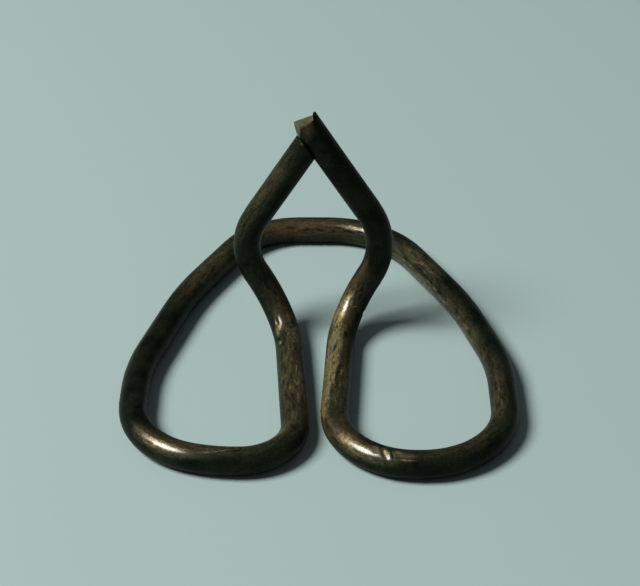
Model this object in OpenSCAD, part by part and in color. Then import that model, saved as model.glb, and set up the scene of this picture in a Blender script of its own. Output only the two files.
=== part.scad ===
// Free-standing stand bent from one length of round wire: a flat foot of two
// rounded loops, two runs side by side that rise at the neck, and a diamond
// head whose two ends meet at the top.
// The head stands in the XZ direction, the foot lies on Z = 0 and its front
// faces -Y. The origin is under the middle of the foot.

/* [Wire] */
// Diameter of the round wire
wire_d = 2.9; // [2.4:0.1:3.2]
// How much thinner the wire is drawn out in its bends
bend_thinning = 0.02; // [0.01:0.005:0.04]

/* [Whole stand] */
// Width of the foot over its two sides
foot_w = 39.8; // [37:0.2:44]
// Depth of the foot from its front to its back
foot_l = 44.4; // [42:0.2:50]
// Height of the stand, up to the highest point of the right arm's tip
stand_h = 26; // [24:0.2:30]

/* [Left toe] */
// How far the left toe stops short of the right toe
left_toe_setback = 0.5; // [0:0.1:1.5]
// How far the left toe sweeps back towards its outer corner
left_toe_sweep = 2; // [1:0.1:3]
// Distance from the middle plane at which the left toe starts its sweep
left_toe_mid_x = 9.8; // [9:0.1:11]

/* [Side rails] */
// Distance behind the front at which the left rail starts to close in
left_knee_y = 16.5; // [15:0.5:19]
// Distance behind the front at which the right rail starts to close in
right_knee_y = 17.3; // [15:0.5:19]
// Distance in from its side that the left rail has reached at its shoulder
left_shoulder_in = 4.2; // [3:0.1:5]
// Distance in from its side that the right rail has reached at its shoulder
right_shoulder_in = 3.4; // [2.5:0.1:5]
// Distance of the left rail's shoulder from the back of the foot
left_shoulder_y = 14.4; // [12:0.2:16]
// Distance of the right rail's shoulder from the back of the foot
right_shoulder_y = 16; // [12:0.2:17]
// Distance of the left back corner from the middle plane
left_back_x = 7.1; // [6:0.1:9]
// Distance of the right back corner from the middle plane
right_back_x = 7.3; // [6:0.1:9]

/* [Runs] */
// Distance of the left run from the middle plane at its toe
left_run_toe_x = 2; // [1.9:0.1:3]
// Distance of the right run from the middle plane at its toe
right_run_toe_x = 1.1; // [1:0.1:2]
// Distance of the left run from the middle plane at the neck
left_neck_x = 3.4; // [3:0.1:5]
// Distance of the right run from the middle plane at the neck
right_neck_x = 2.5; // [2.2:0.1:4]
// Distance of the neck, and of the head above it, from the front of the foot
neck_y = 26.3; // [24:0.5:30]

/* [Head] */
// Distance of the head's left corner from the middle plane
left_corner_x = 8.5; // [7:0.1:10]
// Height of the head's left corner
left_corner_z = 10.3; // [9:0.1:12]
// Distance of the head's right corner from the middle plane
right_corner_x = 7.5; // [6.5:0.1:9]
// Height of the head's right corner
right_corner_z = 10.5; // [9:0.1:12]
// Distance of the stand's highest point to the left of the middle plane
top_x = 0.4; // [-1:0.1:1.5]

/* [Cut ends] */
// Length of the right arm past the middle line of the left one, to the ridge of its cut
tip_len = 2.2; // [1.9:0.1:3]
// Tilt of that ridge, its left end the further one, in degrees
ridge_tilt = 10; // [0:1:15]
// Slope of the cut's front facet, in degrees
front_facet = 3; // [1:1:20]
// Slope of the cut's back facet, in degrees
back_facet = 32; // [20:1:40]
// Width of the burr that the cut has left standing at its right
burr_w = 0.35; // [0.2:0.05:0.6]
// Height of that burr over the ridge
burr_h = 0.3; // [0.1:0.05:0.4]
// Depth of the nip on the left of the tip
nip_depth = 0.6; // [0.1:0.05:0.7]
// Slope of that nip to the arm, in degrees
nip_slope = 27; // [15:1:30]
// Turn of that nip round the arm, from its left towards its front, in degrees
nip_turn = 24; // [0:2:60]
// Gap between the left arm's end and the right arm
end_gap = 0.06; // [0.05:0.01:0.3]
// Turn of the left arm's cut round the right arm, closer at the front, in degrees
end_turn = 18; // [0:1:30]

/* [Bend radii, at the wire's middle line] */
// Left inner corner of the foot's front
left_inner_toe_r = 5.4; // [4:0.1:7]
// Right inner corner of the foot's front
right_inner_toe_r = 7.7; // [4:0.1:9]
// Left toe where its sweep starts
left_toe_mid_r = 16; // [8:0.5:18]
// Left outer corner of the foot's front
left_outer_toe_r = 8.4; // [6:0.1:10]
// Right outer corner of the foot's front
right_outer_toe_r = 8.6; // [6:0.1:10]
// Both rails where they start to close in
knee_r = 22.5; // [15:0.5:26]
// Both rails at their shoulders
shoulder_r = 34; // [20:1:40]
// Left back corner
left_back_r = 8; // [6:0.1:12]
// Right back corner
right_back_r = 10.5; // [7:0.1:14]
// Left neck
left_neck_r = 6.4; // [4:0.1:7]
// Right neck
right_neck_r = 6; // [4:0.1:7]
// Left corner of the head
left_corner_r = 6.6; // [4:0.1:8]
// Right corner of the head
right_corner_r = 8.4; // [4:0.1:9]

/* [Hidden] */
$fn = 64;
wire_r = wire_d / 2;
side_x = foot_w / 2 - wire_r;
front_y = wire_r - foot_l / 2;
back_y = -front_y;
left_front_y = front_y + left_toe_setback;
head_y = neck_y - foot_l / 2;
right_corner = [right_corner_x, head_y, right_corner_z];
left_corner = [-left_corner_x, head_y, left_corner_z];
// From the head's right corner to the stand's highest point, which lies on the
// right arm's surface and so beside its middle line by the wire's radius
to_top = [-top_x, head_y, stand_h] - right_corner;
// Angle of the right arm from upright, negative towards the left
right_arm_lean = atan2(to_top.x, to_top.z) - asin(wire_r / norm(to_top));
right_arm_way = [sin(right_arm_lean), 0, cos(right_arm_lean)];
// Length along the right arm from the crossing of the two middle lines to the
// highest point, which is the outer edge of the burr
burr_reach = tip_len + (burr_h - wire_r * sin(ridge_tilt)) / cos(ridge_tilt);
crossing = right_corner + (to_top * right_arm_way - burr_reach) * right_arm_way;
// The right arm is bent up long, and its cut takes the rest away
right_end = crossing + (tip_len + wire_d) * right_arm_way;

// Corners of the wire's middle line, from the left arm's end round the foot
// to the right arm's end
corners = [
    crossing, // 0, where the left arm ends
    left_corner, // 1
    [-left_neck_x, head_y, wire_r], // 2, left neck
    [-left_run_toe_x, left_front_y, wire_r], // 3, left toe, inner corner
    [-left_toe_mid_x, left_front_y, wire_r], // 4, left toe, start of its sweep
    [-side_x, left_front_y + left_toe_sweep, wire_r], // 5, left toe, outer corner
    [-side_x, left_knee_y - foot_l / 2, wire_r], // 6, left knee
    [left_shoulder_in - side_x, foot_l / 2 - left_shoulder_y, wire_r], // 7, left shoulder
    [-left_back_x, back_y, wire_r], // 8, left back corner
    [right_back_x, back_y, wire_r], // 9, right back corner
    [side_x - right_shoulder_in, foot_l / 2 - right_shoulder_y, wire_r], // 10, right shoulder
    [side_x, right_knee_y - foot_l / 2, wire_r], // 11, right knee
    [side_x, front_y, wire_r], // 12, right toe, outer corner
    [right_run_toe_x, front_y, wire_r], // 13, right toe, inner corner
    [right_neck_x, head_y, wire_r], // 14, right neck
    right_corner, // 15
    right_end // 16
];
// Radius of the bend at each corner; the two ends have none
radii = [
    0, left_corner_r, left_neck_r, left_inner_toe_r, left_toe_mid_r,
    left_outer_toe_r, knee_r, shoulder_r, left_back_r, right_back_r,
    shoulder_r, knee_r, right_outer_toe_r, right_inner_toe_r,
    right_neck_r, right_corner_r, 0
];
last = len(corners) - 1;
// Size of the blocks that cut the ends
tool_w = 5 * wire_d;
// Shortest straight that two neighbouring bends leave between them
least_leg = 0.4;
// Length by which a bend is set into the straight beside it
grip = 0.12;

function unit(v) = v / norm(v);
function heading(i) = unit(corners[i + 1] - corners[i]);
function span(i) = norm(corners[i + 1] - corners[i]);
// Angle that the wire turns through at corner i
function turn(i) = acos(heading(i - 1) * heading(i));
// Length that the bend at corner i would like to take from each leg
function reach(i) = (i == 0 || i == last) ? 0 : radii[i] * tan(turn(i) / 2);
// Share of those two wishes that a leg has room for
function room(i) = min(1, (span(i) - least_leg) / max(least_leg, reach(i) + reach(i + 1)));
// Length that the bend at corner i takes
function taken(i) =
    (i == 0 || i == last) ? 0 : reach(i) * min(room(i - 1), room(i));
function bend_r(i) = taken(i) / tan(turn(i) / 2);
function leg_start(i) = corners[i] + heading(i) * taken(i);
function leg_len(i) = span(i) - taken(i) - taken(i + 1);

// Moves its children to the origin p with the axes x, y and z
module placed(x, y, z, p) {
    multmatrix([
        [x.x, y.x, z.x, p.x],
        [x.y, y.y, z.y, p.y],
        [x.z, y.z, z.z, p.z]
    ]) children();
}

// Straight leg between corner i and the next
module leg(i) {
    z = heading(i);
    x = unit(cross(z, [z.y, z.z, z.x]));
    placed(x, cross(z, x), z, leg_start(i)) cylinder(d = wire_d, h = leg_len(i));
}

// Bend at corner i, set into the leg before and the leg after by the given lengths
module bend(i, grip_before, grip_after) {
    r = bend_r(i);
    before = heading(i - 1);
    outward = unit(before * cos(turn(i)) - heading(i));
    middle = corners[i] - before * taken(i) - outward * r;
    extra = (grip_before + grip_after) / r * 180 / PI;
    placed(outward, before, cross(outward, before), middle)
        rotate([0, 0, -grip_before / r * 180 / PI])
        rotate_extrude(angle = turn(i) + extra)
        translate([r, 0]) circle(d = wire_d - bend_thinning);
}

// Stretch of wire made of a row of legs and a row of bends; a bend has the number
// of its corner, a leg that of the corner it starts from
module wire(first_leg, last_leg, first_bend, last_bend) {
    for (i = [first_leg : last_leg]) leg(i);
    for (i = [first_bend : 1 : last_bend])
        bend(i, i > first_leg ? grip : 0, i <= last_leg ? grip : 0);
}

// Everything above the plane z = 0, near the middle, once tilted about x and y
module above(tilt_x, tilt_y) {
    rotate([tilt_x, tilt_y, 0])
        translate([-tool_w / 2, -tool_w / 2, 0]) cube(tool_w);
}

// What the left arm's end is cut back from: the right arm and a gap beside it
module beside_right_arm() {
    translate(crossing) rotate([0, right_arm_lean, 0]) rotate([0, 0, end_turn])
        translate([-wire_r - end_gap, 0, 0]) above(0, 90);
}

// Everything above the cut's two facets, which meet in a ridge
module above_facets() {
    above(front_facet, 0);
    above(-back_facet, 0);
}

// What the cutters took off the right arm: all above the facets but for a burr
// at the right, and a nip at the left
module past_tip() {
    translate(crossing) rotate([0, right_arm_lean, 0]) translate([0, 0, tip_len]) {
        rotate([0, ridge_tilt, 0]) {
            translate([0, 0, burr_h]) above_facets();
            difference() {
                above_facets();
                translate([wire_r - burr_w, 0, 0]) above(0, 90);
            }
        }
        rotate([0, 0, nip_turn])
            translate([nip_depth - wire_r, 0, 0]) above(0, nip_slope - 90);
    }
}

module left_arm() {
    color([0.27, 0.26, 0.19])
        difference() {
            wire(0, 1, 1, 2);
            beside_right_arm();
        }
}
module left_run() {
    color([0.32, 0.29, 0.22]) leg(2);
}
module left_toe() {
    color([0.24, 0.23, 0.18]) wire(3, 4, 3, 5);
}
module left_rail() {
    color([0.22, 0.24, 0.19]) wire(5, 7, 6, 7);
}
module back_bow() {
    color([0.25, 0.23, 0.18]) wire(8, 8, 8, 9);
}
module right_rail() {
    color([0.29, 0.28, 0.2]) wire(9, 11, 10, 11);
}
module right_toe() {
    color([0.24, 0.23, 0.18]) wire(12, 12, 12, 13);
}
module right_run() {
    color([0.32, 0.29, 0.22]) leg(13);
}
module right_arm() {
    color([0.2, 0.19, 0.15])
        difference() {
            wire(14, 15, 14, 15);
            past_tip();
        }
}

left_arm();
left_run();
left_toe();
left_rail();
back_bow();
right_rail();
right_toe();
right_run();
right_arm();
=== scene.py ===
"""Looks of the bent wire stand: one drawn wire with a worn, dark patina.

Wire space is the wire laid out straight, in millimetres: x runs along its middle line
from the left arm's end, y and z lie across it. Relief and patina are both made in it,
so that they follow the wire round its bends.

A place on the skin is given by its distance along the wire, in millimetres, and by its
angle round the wire, in degrees. Angles are carried along the wire without twist: on
the head 0 degrees is the front and 90 the outside, and on the foot 328 degrees is the
top and 58 the inside of the loops. The wire's stretches end at these distances: left
arm 19, left neck 28, left run 41, left toe 65, left rail 95, back bow 119, right rail
148, right toe 174, right run 186, right neck 194, right arm 216.
"""

import math

import bpy
import numpy as np
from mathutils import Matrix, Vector


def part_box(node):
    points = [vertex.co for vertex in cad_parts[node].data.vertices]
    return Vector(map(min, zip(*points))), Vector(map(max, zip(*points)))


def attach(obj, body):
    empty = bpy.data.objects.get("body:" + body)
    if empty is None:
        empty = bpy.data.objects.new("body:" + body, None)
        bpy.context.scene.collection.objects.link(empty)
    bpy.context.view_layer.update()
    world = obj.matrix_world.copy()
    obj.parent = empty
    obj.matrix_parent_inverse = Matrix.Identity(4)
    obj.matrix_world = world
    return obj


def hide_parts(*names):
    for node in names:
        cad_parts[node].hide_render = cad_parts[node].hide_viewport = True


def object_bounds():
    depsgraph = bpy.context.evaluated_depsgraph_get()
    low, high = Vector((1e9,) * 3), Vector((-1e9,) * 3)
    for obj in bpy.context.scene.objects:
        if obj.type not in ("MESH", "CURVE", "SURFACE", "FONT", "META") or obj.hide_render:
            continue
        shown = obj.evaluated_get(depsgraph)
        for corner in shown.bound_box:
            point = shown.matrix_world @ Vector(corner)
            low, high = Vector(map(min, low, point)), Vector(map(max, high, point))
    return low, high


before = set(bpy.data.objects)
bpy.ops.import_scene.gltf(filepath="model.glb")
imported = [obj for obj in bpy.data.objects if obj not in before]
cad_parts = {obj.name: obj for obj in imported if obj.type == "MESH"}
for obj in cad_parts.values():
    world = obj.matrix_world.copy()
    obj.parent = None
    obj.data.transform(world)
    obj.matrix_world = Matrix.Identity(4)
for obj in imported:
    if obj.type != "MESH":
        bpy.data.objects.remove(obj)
cad_lo, cad_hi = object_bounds()

MM = 0.001

# ---------------------------------------------------------------- sizes, in millimetres

# Radius of the wire, and where its middle line runs at the sides, front, back and head
run_lo, run_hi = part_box("left_run")
WIRE_R = (run_hi.z - run_lo.z) / 2 / MM
SIDE_X = cad_hi.x / MM - WIRE_R
FRONT_Y = cad_lo.y / MM + WIRE_R
BACK_Y = cad_hi.y / MM - WIRE_R
HEAD_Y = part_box("right_arm")[1].y / MM - WIRE_R

# Where the middle lines of the two arms cross, at the top of the head
CROSSING = np.array([-0.448, HEAD_Y, 23.325])
# The head's corners
LEFT_CORNER = np.array([-8.5, HEAD_Y, 10.3])
RIGHT_CORNER = np.array([7.5, HEAD_Y, 10.5])
# Distance of the two runs from the middle plane, at the neck and at the toe
LEFT_NECK_X = 3.4
RIGHT_NECK_X = 2.5
LEFT_RUN_TOE_X = 2
RIGHT_RUN_TOE_X = 1.1
# How far the left toe stops short of the right one, the distance from the middle plane
# at which it starts to sweep back, and how far its outer corner then lies behind the front
LEFT_TOE_SETBACK = 0.5
LEFT_TOE_MID_X = 9.8
LEFT_OUTER_TOE_SETBACK = 2.5
# The rails' knees, where they start to close in
LEFT_KNEE_Y = -5.7
RIGHT_KNEE_Y = -4.9
# The rails' shoulders, and how far they have come in from the side there
LEFT_SHOULDER_Y = 7.8
LEFT_SHOULDER_IN = 4.2
RIGHT_SHOULDER_Y = 6.2
RIGHT_SHOULDER_IN = 3.4
# Distance of the back corners from the middle plane
LEFT_BACK_X = 7.1
RIGHT_BACK_X = 7.3

# Length of the right arm past the middle line of the left one, to the ridge of its cut
TIP_LEN = 2.2
# Tilt of that ridge and slopes of the facets that meet in it, in degrees
RIDGE_TILT = 10
FRONT_FACET = 3
BACK_FACET = 32
# Width and height of the burr at the right of that cut, and the width of its slope
BURR_W = 0.35
BURR_H = 0.3
BURR_SLOPE_W = 0.08
# Depth of the nip at the left of that cut, its slope to the arm, and its turn round the
# arm towards the front, in degrees
NIP_DEPTH = 0.6
NIP_SLOPE = 27
NIP_TURN = 24
# How far the edge of that cut is rounded off where it is bluntest, and the shares of the
# wire's radius at which the rounding starts and over which it grows
BLUNT_BY = 0.3
BLUNT_FROM = 0.68
BLUNT_OVER = 0.3
# Share of that rounding all round the cut, and what it gains towards the back and left
BLUNT_EVERYWHERE = 0.4
BLUNT_BACK_LEFT = 0.8
# The left arm's end bears on the right arm, whose skin is worn by this much
END_GAP = -0.03
# Turn of the left arm's cut round the right arm, closer at the front, in degrees
END_TURN = 18

# Spacing of the mesh's rings along the wire where it is nicked, and how many times that
# it is elsewhere
RING_STEP = 0.055
COARSER = 5
# Points round the wire
AROUND = 80
# Share of the wire's radius that each ring of a cut end lies at, from its rim inwards
CAP_RINGS = (0.985, 0.95, 0.88, 0.8, 0.72, 0.64, 0.56, 0.48, 0.4, 0.32, 0.24, 0.16, 0.08)
# Length of wire over which the rings close up to a slanted cut
TRIM_ZONE = 5
# Shortest straight between two bends
LEAST_LEG = 0.4

# --------------------------------------------------- relief of the skin, in millimetres

# How far the skin's highest places lie inside the drawn wire's own round
SKIN_GAP = 0.005
# Height of the ups and downs on the cut ends
CUT_UNEVEN = 0.012
# How much the outside of a bend is flattened, times the radius of that bend
FLATTENING = 0.25
# Swells of wear and of drawing: their length along the wire, how many go round it, and
# how deep they are on average
WORN_SWELLS = [(9, 3, 0.01), (1.3, 9, 0.006)]
DRAW_LINES = [(14, 40, 0.003), (4, 40, 0.003)]
# Round pits: how many there are, and the bounds of their half width, of their length
# against their width, and of their depth
PITS = 260
PIT_HALF_WIDTH = (0.12, 0.3)
PIT_STRETCH = (1, 2.2)
PIT_DEPTH = (0.01, 0.04)

# Dents and nicks: place along, place round, half length, half width, lean, depth
NICKS = [
    # Left neck
    (24.6, 34, 0.6, 0.14, 15, 0.08),
    (25.0, 3, 0.9, 0.2, 6, 0.12),
    # Left run
    (28.8, 8, 0.32, 0.25, 0, 0.11),
    # Left toe
    (57.0, 322, 0.8, 0.14, 8, 0.05),
    (58.8, 322, 1.1, 0.16, 10, 0.06),
    (65.0, 358, 0.25, 0.15, 40, 0.05),
    # Left rail
    (84.9, 11, 0.2, 0.15, 30, 0.05),
    # Right rail
    (131.0, 29, 0.6, 0.24, 35, 0.08),
    (134.3, 10, 0.9, 0.12, 65, 0.07),
    (134.8, 20, 0.6, 0.12, 60, 0.06),
    (145.5, 352, 0.5, 0.25, 30, 0.08),
    # Right toe
    (162.6, 303, 0.8, 0.12, 0, 0.06),
    (163.4, 322, 0.5, 0.2, 10, 0.05),
    (163.9, 308, 0.75, 0.16, 64, 0.1),
    (164.65, 308, 0.95, 0.36, 50, 0.12),
    (165.2, 326, 0.5, 0.14, 60, 0.06),
    (165.5, 310, 0.5, 0.45, 50, 0.05),
    # Right run
    (174.6, 345, 1.0, 0.14, 20, 0.06),
    (176.4, 300, 1.4, 0.16, 10, 0.06),
    (178.0, 330, 1.2, 0.14, 8, 0.06),
    (178.2, 303, 0.6, 0.13, 0, 0.05),
    (183.0, 312, 0.9, 0.14, 12, 0.06),
    # Right neck
    (190.4, 7, 0.45, 0.3, 60, 0.13),
    (190.5, 70, 0.4, 0.6, 0, 0.14),
]

# ------------------------------------------------------------------ the wire's middle line


def unit(vector):
    """This vector, brought to length 1."""
    vector = np.asarray(vector, float)
    return vector / np.linalg.norm(vector)


# Heading of the right arm
RIGHT_ARM_WAY = unit(CROSSING - RIGHT_CORNER)
# Corners of the wire's middle line, each with the radius of its bend
CORNERS = [
    (CROSSING, 0),
    (LEFT_CORNER, 6.6),
    ((-LEFT_NECK_X, HEAD_Y, WIRE_R), 6.4),
    ((-LEFT_RUN_TOE_X, FRONT_Y + LEFT_TOE_SETBACK, WIRE_R), 5.4),
    ((-LEFT_TOE_MID_X, FRONT_Y + LEFT_TOE_SETBACK, WIRE_R), 16),
    ((-SIDE_X, FRONT_Y + LEFT_OUTER_TOE_SETBACK, WIRE_R), 8.4),
    ((-SIDE_X, LEFT_KNEE_Y, WIRE_R), 22.5),
    ((LEFT_SHOULDER_IN - SIDE_X, LEFT_SHOULDER_Y, WIRE_R), 34),
    ((-LEFT_BACK_X, BACK_Y, WIRE_R), 8),
    ((RIGHT_BACK_X, BACK_Y, WIRE_R), 10.5),
    ((SIDE_X - RIGHT_SHOULDER_IN, RIGHT_SHOULDER_Y, WIRE_R), 34),
    ((SIDE_X, RIGHT_KNEE_Y, WIRE_R), 22.5),
    ((SIDE_X, FRONT_Y, WIRE_R), 8.6),
    ((RIGHT_RUN_TOE_X, FRONT_Y, WIRE_R), 7.7),
    ((RIGHT_NECK_X, HEAD_Y, WIRE_R), 6),
    (RIGHT_CORNER, 8.4),
    (CROSSING + RIGHT_ARM_WAY * TIP_LEN, 0),
]


def bends():
    """Corners, headings and lengths of the legs, and for each corner the angle that the
    wire turns through and the length that its bend takes from each leg."""
    points = [np.array(p, float) for p, _ in CORNERS]
    spans = [np.linalg.norm(b - a) for a, b in zip(points, points[1:])]
    headings = [unit(b - a) for a, b in zip(points, points[1:])]
    turns = [0.0]
    for before, after in zip(headings, headings[1:]):
        turns.append(math.acos(before @ after))
    turns.append(0.0)
    reach = [r * math.tan(t / 2) for (_, r), t in zip(CORNERS, turns)]
    room = [
        min(1, (span - LEAST_LEG) / max(LEAST_LEG, a + b))
        for span, a, b in zip(spans, reach, reach[1:])
    ]
    taken = [0.0]
    for i in range(1, len(points) - 1):
        taken.append(reach[i] * min(room[i - 1], room[i]))
    taken.append(0.0)
    return points, headings, spans, turns, taken


def middle_line():
    """Points of the middle line, with the wire's heading and its bend at each: a vector
    of 1 / radius towards the inside."""
    points, headings, spans, turns, taken = bends()
    places, ways, curls = [], [], []
    for i, (heading, span) in enumerate(zip(headings, spans)):
        start = points[i] + heading * taken[i]
        leg = span - taken[i] - taken[i + 1]
        last = i + 1 == len(headings)
        steps = max(2, math.ceil(leg / RING_STEP))
        for t in np.linspace(0, leg, steps + last, endpoint=last):
            places.append(start + heading * t)
            ways.append(heading)
            curls.append(np.zeros(3))
        if last:
            break
        turn, after = turns[i + 1], headings[i + 1]
        radius = taken[i + 1] / math.tan(turn / 2)
        inward = unit(after - heading * math.cos(turn))
        entry = start + heading * leg
        for t in np.linspace(0, turn, math.ceil(radius * turn / RING_STEP), endpoint=False):
            out = heading * math.sin(t) - inward * math.cos(t)
            places.append(entry + (inward + out) * radius)
            ways.append(heading * math.cos(t) + inward * math.sin(t))
            curls.append(-out / radius)
    return np.array(places), np.array(ways), np.array(curls)


def carried_frame(ways):
    """Two directions across the wire, carried along it without twist. The first faces
    the front on the head."""
    ups = [np.array([0.0, -1.0, 0.0])]
    for way in ways[1:]:
        ups.append(unit(ups[-1] - way * (ups[-1] @ way)))
    ups = np.array(ups)
    return ups, np.cross(ways, ups)


def wire_rings():
    """For each ring of the mesh its distance along the wire, its middle, the heading and
    bend of the wire there, and two directions across. Rings lie close near a nick."""
    places, ways, curls = middle_line()
    ups, sides = carried_frame(ways)
    steps = np.linalg.norm(np.diff(places, axis=0), axis=1)
    along = np.concatenate([[0], np.cumsum(steps)])
    kept = np.arange(len(along)) % COARSER == 0
    kept[-1] = True
    for at, _, half_len, half_width, *_ in NICKS:
        kept |= np.abs(along - at) < max(half_len, half_width)
    return [values[kept] for values in (along, places, ways, curls, ups, sides)]


ALONG, PLACES, WAYS, CURLS, UPS, SIDES = wire_rings()
LENGTH = ALONG[-1]
ANGLES = np.linspace(0, 2 * math.pi, AROUND, endpoint=False)
# Outward directions at every point of the skin
SPOKES = (
    UPS[:, None] * np.cos(ANGLES)[None, :, None]
    + SIDES[:, None] * np.sin(ANGLES)[None, :, None]
)

# ------------------------------------------------------------------------ relief and wear

# Where the patina is rubbed through, and a few places where light and highlights are
# painted on: place along, place round, half length, half width, lean, strength
RUBBED_AND_LIT = [
    # Left arm: a worn fleck at the end, lightened as a painted highlight, and painted light
    # on the outer front flank, which faces the lamp
    (0.2, 38, 0.4, 0.16, 30, 0.85),
    (8, 60, 10, 2.0, 0, 0.28),
    (12, 190, 8, 1.8, 0, 0.3),
    # Left neck
    (22, 330, 10, 2.2, 0, 0.2),
    (25.8, 4, 2.4, 0.8, 10, 1.1),
    (27, 305, 6, 1.5, 0, 0.6),
    # Left run
    (28.7, 12, 0.5, 0.45, 0, 1.2),
    (35, 330, 13, 2.7, 0, 0.5),
    (35.5, 300, 9, 1.3, 0, 0.66),
    # Left toe
    (44.5, 0, 5, 1.1, 0, 0.6),
    (52, 335, 9, 1.2, 0, 0.35),
    # A thin tan line that carries the toe's highlight on along the wire: painted highlight
    (52.2, 312, 3.2, 0.14, -12, 0.95),
    (57.3, 292, 5, 1.1, 0, 0.9),
    # Left rail
    (76, 250, 14, 1.6, 0, 0.3),
    (90, 350, 12, 2.0, 0, 0.35),
    # Back bow
    (105, 10, 14, 2.2, 0, 0.45),
    (110.6, 10, 4, 0.8, 0, 0.9),
    # Right rail
    (120, 200, 16, 1.8, 0, 0.3),
    (121.5, 355, 6, 1.8, 0, 0.55),
    (128, 62, 26, 2.3, 0, 0.65),
    (140, 110, 14, 1.6, 0, 0.3),
    (147, 0, 11, 1.6, 0, 0.35),
    # Right toe
    (156, 335, 10, 1.6, 0, 0.2),
    (162.5, 292, 1.0, 0.14, 0, 1.0),
    # The far wall of the gouge: worn metal, painted lighter where the lamp lights it
    (163.5, 323, 0.7, 0.35, 0, 1.1),
    (164.4, 307, 1.1, 0.5, 50, 1.6),
    (167.8, 288, 6, 1.3, 0, 0.95),
    # Right run
    (178, 350, 14, 1.8, 0, 0.45),
    (180, 291, 13.5, 1.6, 5, 1.6),
    # Right neck
    (189.5, 300, 7, 1.7, 0, 1.0),
    (190, 340, 9, 1.6, 0, 0.3),
    (190.5, 354, 0.8, 0.28, 60, 0.8),
    # Right arm
    (194.3, 301, 4.5, 0.8, 0, 0.55),
    (206, 180, 9, 1.8, 0, 0.3),
    (LENGTH - 0.5, 0, 1.6, 1.3, 20, 0.3),
]
# Cracks, gouges and slashes inside the worn places that are kept dark, in the same way:
# dirt in the cracks, and painted shade in the groove of the right toe's gouge
DIRT_AND_SHADE = [
    # Left neck
    (24.8, 20, 1.0, 0.22, 6, 1.4),
    (25.0, 3, 0.8, 0.16, 5, 1.2),
    # Back bow
    (102.9, 14, 1.0, 0.26, 5, 1.3),
    (104.9, 23, 0.7, 0.28, -10, 1.2),
    (106.4, 26, 1.1, 0.26, 8, 1.4),
    (107.9, 31, 0.6, 0.3, -12, 1.2),
    (108.6, 15, 1.0, 0.2, 5, 1.3),
    (109.9, 26, 1.2, 0.24, 6, 1.4),
    (111.3, 21, 0.8, 0.2, 0, 1.3),
    # Right rail
    (122.6, 20, 1.0, 0.2, 15, 1.0),
    (124.8, 28, 0.8, 0.25, 20, 1.0),
    (126.6, 34, 0.8, 0.22, 0, 1.0),
    (131.0, 29, 0.9, 0.4, 35, 1.0),
    (134.3, 10, 1.1, 0.2, 65, 1.0),
    (134.8, 20, 0.8, 0.2, 60, 1.0),
    (138.5, 12, 1.2, 0.2, 5, 1.0),
    (142.0, 5, 0.9, 0.3, 20, 0.8),
    # Right toe: painted shade in the groove of the gouge
    (163.9, 306, 0.8, 0.2, 64, 1.5),
    # Right run
    (176.0, 302, 1.6, 0.2, 10, 0.4),
    (178.0, 332, 1.5, 0.3, 8, 0.5),
    (178.2, 303, 0.8, 0.2, 0, 0.4),
    (183.5, 312, 1.3, 0.22, 12, 0.4),
]
# Where the skin is scraped down to matt metal, in the same way
SCRAPED = [
    # Right toe
    (162.9, 312, 1.5, 0.5, 0, 0.8),
    (164.2, 305, 0.8, 0.4, 50, 0.6),
    (165.5, 314, 0.7, 0.5, 45, 1.4),
]
# Where bare copper-red shows, in the same way
REDDENED = [
    # Left toe
    (57, 305, 5, 1.3, 0, 0.4),
    (58.1, 276, 0.7, 0.4, 0, 0.8),
    # Back bow
    (104, 15, 11, 1.6, 0, 0.5),
    # Right toe
    (162.2, 309, 1.2, 0.4, 0, 0.4),
    (168, 305, 5, 1.4, 0, 0.4),
    # Right neck
    (188.6, 344, 2.5, 0.5, 0, 0.5),
    # Right arm
    (194.5, 302, 4.5, 0.9, 0, 0.75),
    (LENGTH - 1.2, 345, 1.0, 0.7, 20, 0.5),
    (LENGTH - 0.1, 12, 1.1, 0.9, 20, 1.4),
]
# How dark the burr and the blunted edge are, against the bare metal of the right cut.
# The blunted edge keeps its patina; the burr is simply made darker
BURR_DARKENING = 0.9
BLUNT_DIRT = 0.8

rng = np.random.default_rng(11)


def soft_noise(length, count):
    """Noise from -1 to 1 over the skin, in swells of this length along the wire, with
    this many swells round it."""
    lattice = rng.uniform(-1, 1, (int(LENGTH / length) + 3, count))
    row, col = ALONG / length, ANGLES / (2 * math.pi) * count
    i, j = row.astype(int), col.astype(int)
    u, v = row - i, col - j
    u, v = (u * u * (3 - 2 * u))[:, None], (v * v * (3 - 2 * v))[None, :]
    right = (j + 1) % count
    low = lattice[i][:, j] * (1 - v) + lattice[i][:, right] * v
    high = lattice[i + 1][:, j] * (1 - v) + lattice[i + 1][:, right] * v
    return low * (1 - u) + high * u


def swells(sizes):
    """Depth of the skin in swells of these lengths, counts and mean depths, added up."""
    return sum(mean * (1 + soft_noise(length, count)) for length, count, mean in sizes)


def patch(at, degrees, half_len, half_width, lean=0.0):
    """A soft spot on the skin, 1 in its middle and 0 outside: its place along and round
    the wire, half its length and width, and how far it leans out of the wire's line."""
    turn = (ANGLES - math.radians(degrees) + math.pi) % (2 * math.pi) - math.pi
    x, y = (ALONG - at)[:, None], (turn * WIRE_R)[None, :]
    slant = math.radians(lean)
    long = (x * math.cos(slant) + y * math.sin(slant)) / half_len
    wide = (y * math.cos(slant) - x * math.sin(slant)) / half_width
    return np.clip(1 - long**2 - wide**2, 0, 1) ** 2


def pits():
    """Depth of small round pits, scattered over the whole wire."""
    depth = np.zeros((len(ALONG), AROUND))
    for _ in range(PITS):
        at, degrees = rng.uniform(0, LENGTH), rng.uniform(0, 360)
        half_width = rng.uniform(*PIT_HALF_WIDTH)
        half_len = half_width * rng.uniform(*PIT_STRETCH)
        depth += patch(at, degrees, half_len, half_width) * rng.uniform(*PIT_DEPTH)
    return depth


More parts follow.
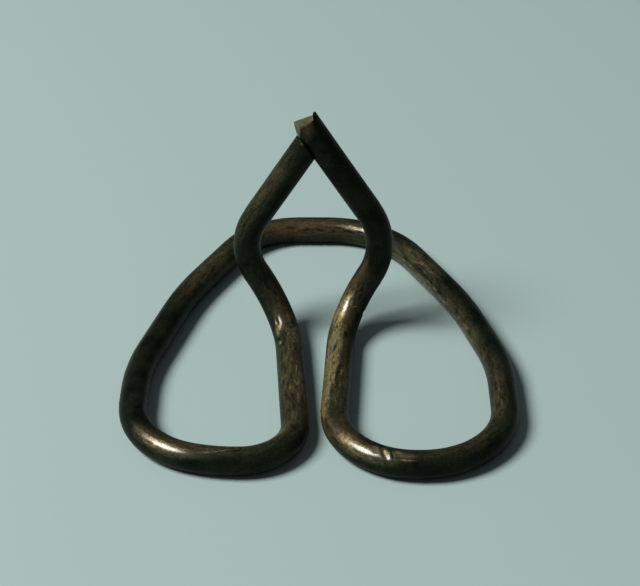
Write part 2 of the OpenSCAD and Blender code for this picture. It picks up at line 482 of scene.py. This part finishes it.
def skin_depth():
    """How far the skin lies inside the drawn wire's own round, in millimetres."""
    outward = -(CURLS[:, None] * SPOKES).sum(axis=2)
    flattened = np.clip(outward, 0, None) * FLATTENING
    depth = flattened + swells(WORN_SWELLS) + swells(DRAW_LINES) + pits()
    for at, degrees, half_len, half_width, lean, deep in NICKS:
        depth += deep * patch(at, degrees, half_len, half_width, lean)
    return depth


def patches(spots):
    """The strongest of these soft spots at every point of the skin, from 0 to 1."""
    strongest = np.zeros((len(ALONG), AROUND))
    for at, degrees, half_len, half_width, lean, strength in spots:
        spot = strength * patch(at, degrees, half_len, half_width, lean)
        strongest = np.maximum(strongest, spot)
    return np.minimum(strongest, 1)


# --------------------------------------------------------------------------- the cut ends


def left_cut(across):
    """Where the left arm starts, along its own middle line, for places across it: it is
    cut off beside the right arm, closer to it at the front."""
    turn = math.radians(END_TURN)
    to_arm = SIDES[-1] * math.cos(turn) - UPS[-1] * math.sin(turn)
    offset = across @ np.stack([UPS[0], SIDES[0]]) @ to_arm
    return (WIRE_R + END_GAP + offset) / -(WAYS[0] @ to_arm)


def burr(across):
    """How far places across the right arm lie on the burr at the right of its cut."""
    return np.clip((across[..., 1] - WIRE_R + BURR_W) / BURR_SLOPE_W, 0, 1)


def blunted(across):
    """How blunt the edge of the right arm's cut is at places across it, from 0 to 1: most
    at its back and left, over the outermost third of the wire's radius."""
    back, right = -across[..., 0] / WIRE_R, across[..., 1] / WIRE_R
    out = np.clip((np.hypot(back, right) - BLUNT_FROM) / BLUNT_OVER, 0, 1)
    return out**2 * np.clip(BLUNT_EVERYWHERE + BLUNT_BACK_LEFT * (back - right), 0, 1)


def right_cut(across):
    """Where the right arm ends, for places across it: two facets that meet in a tilted
    ridge, a burr at the right, and a nip at the left of the front."""
    back, right = -across[..., 0], across[..., 1]
    front_facet = back * math.tan(math.radians(FRONT_FACET))
    back_facet = -back * math.tan(math.radians(BACK_FACET))
    tip = np.minimum(front_facet, back_facet) - right * math.tan(math.radians(RIDGE_TILT))
    turn = math.radians(NIP_TURN)
    depth = WIRE_R - NIP_DEPTH + right * math.cos(turn) + back * math.sin(turn)
    nip = depth / math.tan(math.radians(NIP_SLOPE))
    blunt = BLUNT_BY * blunted(across)
    return LENGTH + np.minimum(tip + BURR_H * burr(across), nip) - blunt


def cap(rim, cut):
    """Rings of a cut end from its rim inwards, as places along and across the wire."""
    across = np.multiply.outer(CAP_RINGS, rim)
    uneven = rng.uniform(-1, 1, across.shape[:2]) * CUT_UNEVEN
    return cut(across) + uneven, across


# --------------------------------------------------------------------------- the wire's mesh


def skin():
    """Rings of the skin from cut to cut, as places along and across the wire."""
    radius = WIRE_R - SKIN_GAP - skin_depth()
    across = np.stack([radius * np.cos(ANGLES), radius * np.sin(ANGLES)], axis=-1)
    along = np.repeat(ALONG[:, None], AROUND, axis=1)
    near = np.clip(1 - ALONG / TRIM_ZONE, 0, 1)[:, None]
    far = np.clip(1 - (LENGTH - ALONG) / TRIM_ZONE, 0, 1)[:, None]
    along += near * left_cut(across[0]) + far * (right_cut(across[-1]) - LENGTH)
    return along, across


def bent(along, across):
    """Where the points of all rings come to lie once the wire is bent. The rings of the
    cut ends go with the first and the last ring of the skin."""
    ring = np.pad(np.arange(len(ALONG)), len(CAP_RINGS), "edge")
    return (
        PLACES[ring][:, None]
        + WAYS[ring][:, None] * (along - ALONG[ring][:, None])[..., None]
        + UPS[ring][:, None] * across[..., :1]
        + SIDES[ring][:, None] * across[..., 1:]
    ).reshape(-1, 3)


def closed_faces(rings):
    """Faces between this many rings, and round a point in the middle of each cut end."""
    index = np.arange(rings * AROUND).reshape(-1, AROUND)
    after = np.roll(index, -1, axis=1)
    quads = np.stack([index[:-1], after[:-1], after[1:], index[1:]], axis=-1).reshape(-1, 4)
    left_middle, right_middle = index.size, index.size + 1
    faces = quads.tolist()
    faces += [[left_middle, b, a] for a, b in zip(index[0].tolist(), after[0].tolist())]
    faces += [[right_middle, a, b] for a, b in zip(index[-1].tolist(), after[-1].tolist())]
    return faces


def link(name, data):
    """A new object in the scene."""
    made = bpy.data.objects.new(name, data)
    bpy.context.collection.objects.link(made)
    return made


def make_wire():
    """The wire as one closed mesh: a skin of rings, closed by two cut ends."""
    along, across = skin()
    left_along, left_across = cap(across[0], left_cut)
    right_along, right_across = cap(across[-1], right_cut)
    not_darkened = 1 - patches(DIRT_AND_SHADE)
    unworn = np.zeros_like(left_along)
    bare = (1 - BURR_DARKENING * burr(right_across)) * (1 - BLUNT_DIRT * blunted(right_across))
    wear_and_light = {
        "rubbed_and_lit": np.concatenate([unworn, patches(RUBBED_AND_LIT) * not_darkened, unworn]),
        "reddened": np.concatenate([unworn, patches(REDDENED) * not_darkened, unworn]),
        "cut": np.concatenate([unworn, patches(SCRAPED) * not_darkened, bare]),
    }

    along = np.concatenate([left_along[::-1], along, right_along])
    across = np.concatenate([left_across[::-1], across, right_across])
    starts, stops = left_cut(np.zeros(2)), right_cut(np.zeros(2))
    middles = [PLACES[0] + WAYS[0] * starts, PLACES[-1] + WAYS[-1] * (stops - LENGTH)]
    points = np.concatenate([bent(along, across), middles]) * MM
    wire_space = np.concatenate([along[..., None], across], axis=-1).reshape(-1, 3)
    wire_space = np.concatenate([wire_space, [[starts, 0, 0], [stops, 0, 0]]])

    mesh = bpy.data.meshes.new("wire")
    mesh.from_pydata(points.tolist(), [], closed_faces(len(along)))
    mesh.shade_smooth()
    mesh.attributes.new("wire_space", "FLOAT_VECTOR", "POINT").data.foreach_set(
        "vector", wire_space.astype(np.float32).ravel()
    )
    for name, values in wear_and_light.items():
        # The middle of a cut end is as worn as the ring round it
        values = np.append(values, [values[0, 0], values[-1, 0]])
        mesh.attributes.new(name, "FLOAT", "POINT").data.foreach_set(
            "value", values.astype(np.float32)
        )
    return link("wire", mesh)


# ------------------------------------------------------------------------------- materials


class Graph:
    """Short names for the nodes that a material is made of."""

    def __init__(self, name):
        self.material = bpy.data.materials.new(name)
        self.material.use_nodes = True
        self.tree = self.material.node_tree
        self.shader = self.tree.nodes["Principled BSDF"]

    def node(self, kind, inputs, **settings):
        """A new node with these inputs, each a constant or another node's output."""
        made = self.tree.nodes.new(kind)
        for key, value in settings.items():
            setattr(made, key, value)
        for key, value in inputs.items():
            self.put(value, made.inputs[key])
        return made

    def put(self, value, socket):
        """Links a node's output to this input, or sets the input to a constant."""
        if isinstance(value, bpy.types.NodeSocket):
            self.tree.links.new(value, socket)
        else:
            socket.default_value = value

    def attribute(self, name, output):
        return self.node("ShaderNodeAttribute", {}, attribute_name=name).outputs[output]

    def stretched(self, vector, scale):
        inputs = {"Vector": vector, "Scale": scale}
        return self.node("ShaderNodeMapping", inputs).outputs["Vector"]

    def noise(self, vector, scale, detail=3.0, roughness=0.6, distortion=0.0):
        inputs = {
            "Vector": vector,
            "Scale": scale,
            "Detail": detail,
            "Roughness": roughness,
            "Distortion": distortion,
        }
        return self.node("ShaderNodeTexNoise", inputs).outputs["Fac"]

    def between(self, value, low, high):
        """How far a number has come from low to high, from 0 to 1."""
        inputs = {"Value": value, "From Min": low, "From Max": high}
        return self.node("ShaderNodeMapRange", inputs).outputs["Result"]

    def level(self, share, a, b):
        """Numbers mixed: a where share is 0, b where it is 1."""
        inputs = {"Value": share, "To Min": a, "To Max": b}
        return self.node("ShaderNodeMapRange", inputs).outputs["Result"]

    def math(self, operation, a, b, clamp=False):
        return self.node(
            "ShaderNodeMath", {0: a, 1: b}, operation=operation, use_clamp=clamp
        ).outputs[0]

    def colours(self, share, a, b, blend_type):
        """Two colours blended. A Mix node takes its share at input 0 and colours at
        inputs 6 and 7, and gives a colour at output 2."""
        settings = {"data_type": "RGBA", "blend_type": blend_type}
        made = self.node("ShaderNodeMix", {0: share}, **settings)
        for value, socket in ((a, made.inputs[6]), (b, made.inputs[7])):
            self.put((*value, 1) if isinstance(value, tuple) else value, socket)
        return made.outputs[2]

    def mix(self, share, a, b):
        """Colours mixed: a where share is 0, b where it is 1."""
        return self.colours(share, a, b, "MIX")

    def times(self, colour, factor):
        """A colour made darker or lighter by a number."""
        return self.colours(1.0, colour, factor, "MULTIPLY")


# Colours of the patina, and of the metal where it shows. The green of the two darkest
# colours is partly the patina's own tint and partly a painted reflection of a teal ground.
OXIDE_AND_REFLECTION = (0.0018, 0.0042, 0.0020)
OLIVE = (0.0125, 0.0180, 0.0090)
BROWN = (0.056, 0.051, 0.023)
RED_BROWN = (0.060, 0.040, 0.019)
TAN = (0.34, 0.275, 0.112)
DULL_TAN = (0.16, 0.130, 0.053)
COPPER = (0.110, 0.055, 0.024)
CUT_METAL = (0.12, 0.115, 0.065)


def patina():
    """Dark oxide, its green partly a painted reflection, worn to brown where hands and
    bending rubbed it, and through to dull tan metal in draw-line streaks, with copper-red
    and matt cut metal on top. A few of the worn places are painted light and painted
    highlight, and the dark in one gouge is painted shade. Noise lies in wire space, so its
    scales are per millimetre. x is scaled least where it makes streaks."""
    g = Graph("patina")
    space = g.attribute("wire_space", "Vector")
    streaks = g.stretched(space, (0.65, 2.8, 2.8))
    streaks = g.noise(streaks, 1.0, detail=4.0, distortion=0.3)
    fine = g.noise(g.stretched(space, (1.2, 6.0, 6.0)), 1.0)
    blotches = g.noise(space, 0.35, detail=4.0, distortion=0.4)
    specks = g.noise(space, 2.6, detail=4.0, roughness=0.7)
    worn_and_lit = g.attribute("rubbed_and_lit", "Fac")

    # Oxide, its green partly a painted reflection, browned where it is a little worn and
    # where light is painted on
    colour = g.mix(g.between(blotches, 0.38, 0.66), OXIDE_AND_REFLECTION, OLIVE)
    browned = g.math("ADD", g.math("MULTIPLY", streaks, 0.6), g.math("MULTIPLY", specks, 0.4))
    browned = g.math("MULTIPLY", g.between(browned, 0.38, 0.58), g.between(worn_and_lit, 0.0, 0.3))
    reddish = g.between(g.noise(space, 0.22), 0.5, 0.65)
    colour = g.mix(browned, colour, g.mix(reddish, BROWN, RED_BROWN))

    # Metal that shows through where it is worn more, in streaks between the specks; where
    # light is painted on, this tan is painted light and painted highlight
    through_and_lit = g.math("ADD", g.math("MULTIPLY", worn_and_lit, 0.8), g.between(streaks, 0.3, 1.2))
    through_and_lit = g.math("SUBTRACT", through_and_lit, g.between(specks, 0.42, 1.1), clamp=True)
    through_and_lit = g.between(through_and_lit, 0.5, 0.88)
    tan = g.mix(g.math("MULTIPLY", through_and_lit, g.between(fine, 0.3, 0.5)), DULL_TAN, TAN)
    tan = g.mix(g.between(blotches, 0.52, 0.75), tan, COPPER)
    colour = g.mix(through_and_lit, colour, tan)

    # Fine light and dark mottling over all of that
    mottling = g.noise(space, 7.0, detail=2.0)
    colour = g.times(colour, g.level(mottling, -0.3, 2.3))

    # Copper-red, then cut or scraped metal with copper-red and brown stains
    reddened = g.math("MULTIPLY", g.attribute("reddened", "Fac"), g.between(fine, 0.3, 0.6))
    colour = g.mix(reddened, colour, COPPER)
    cut = g.attribute("cut", "Fac")
    fresh = g.mix(g.between(g.noise(space, 0.9), 0.5, 0.75), CUT_METAL, COPPER)
    fresh = g.mix(g.between(g.noise(space, 2.2), 0.45, 0.7), fresh, BROWN)
    colour = g.mix(cut, colour, fresh)
    g.put(colour, g.shader.inputs["Base Color"])

    g.put(g.level(through_and_lit, 0.05, 0.5), g.shader.inputs["Metallic"])
    g.put(g.level(worn_and_lit, 0.08, 0.3), g.shader.inputs["Specular IOR Level"])
    g.put(g.level(fine, 0.34, 0.54), g.shader.inputs["Roughness"])
    # Hands have left the rubbed places waxy and smooth
    waxy = g.math("MULTIPLY", g.between(worn_and_lit, 0.35, 0.75), g.level(cut, 0.8, 0.0))
    g.put(waxy, g.shader.inputs["Coat Weight"])
    g.put(g.level(streaks, 0.14, 0.27), g.shader.inputs["Coat Roughness"])
    g.put(1.6, g.shader.inputs["Coat IOR"])

    height = g.math("ADD", g.math("MULTIPLY", fine, 0.6), g.math("MULTIPLY", specks, 0.4))
    bump = g.node("ShaderNodeBump", {"Height": height, "Strength": 0.7, "Distance": 0.00006})
    g.put(bump.outputs["Normal"], g.shader.inputs["Normal"])
    return g.material


def plain(name, colour, roughness):
    """A material of one colour all over."""
    g = Graph(name)
    g.put((*colour, 1), g.shader.inputs["Base Color"])
    g.put(roughness, g.shader.inputs["Roughness"])
    return g.material


# -------------------------------------------------------------------- the scene, in metres


def make_floor(half_side):
    """A plain pale floor that the stand rests on."""
    mesh = bpy.data.meshes.new("floor")
    corners = [(x * half_side, y * half_side, 0) for x, y in ((-1, -1), (1, -1), (1, 1), (-1, 1))]
    mesh.from_pydata(corners, [], [(0, 1, 2, 3)])
    mesh.materials.append(plain("floor", colour=(0.46, 0.60, 0.57), roughness=0.85))
    floor = link("floor", mesh)


def make_camera():
    """A long lens that looks down at the stand's front."""
    data = bpy.data.cameras.new("camera")
    data.lens = 110.6
    camera = link("camera", data)
    camera.location = (0.0001, -0.16614, 0.12124)
    camera.rotation_euler = (math.radians(55.5), 0, 0)
    bpy.context.scene.camera = camera


def area_light(name, towards, distance, size, watts):
    """A round lamp that faces the stand from this direction and distance."""
    data = bpy.data.lights.new(name, "AREA")
    data.shape = "DISK"
    data.size = size
    data.energy = watts
    lamp = link(name, data)
    lamp.location = Vector(towards).normalized() * distance
    lamp.rotation_euler = Vector(towards).to_track_quat("Z", "Y").to_euler()


def make_sky(colour, strength):
    """Faint light from all sides."""
    world = bpy.data.worlds.new("world")
    bpy.context.scene.world = world
    world.use_nodes = True
    sky = world.node_tree.nodes["Background"]
    sky.inputs["Color"].default_value = (*colour, 1)
    sky.inputs["Strength"].default_value = strength


wire = make_wire()
wire.data.materials.append(patina())
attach(wire, "root")
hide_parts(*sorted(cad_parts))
make_floor(half_side=2.0)
make_camera()
area_light("key", towards=(-0.58, -0.13, 0.80), distance=0.8, size=0.36, watts=6)
make_sky(colour=(0.9, 0.95, 1), strength=0.08)
bpy.context.scene.view_settings.view_transform = "Standard"
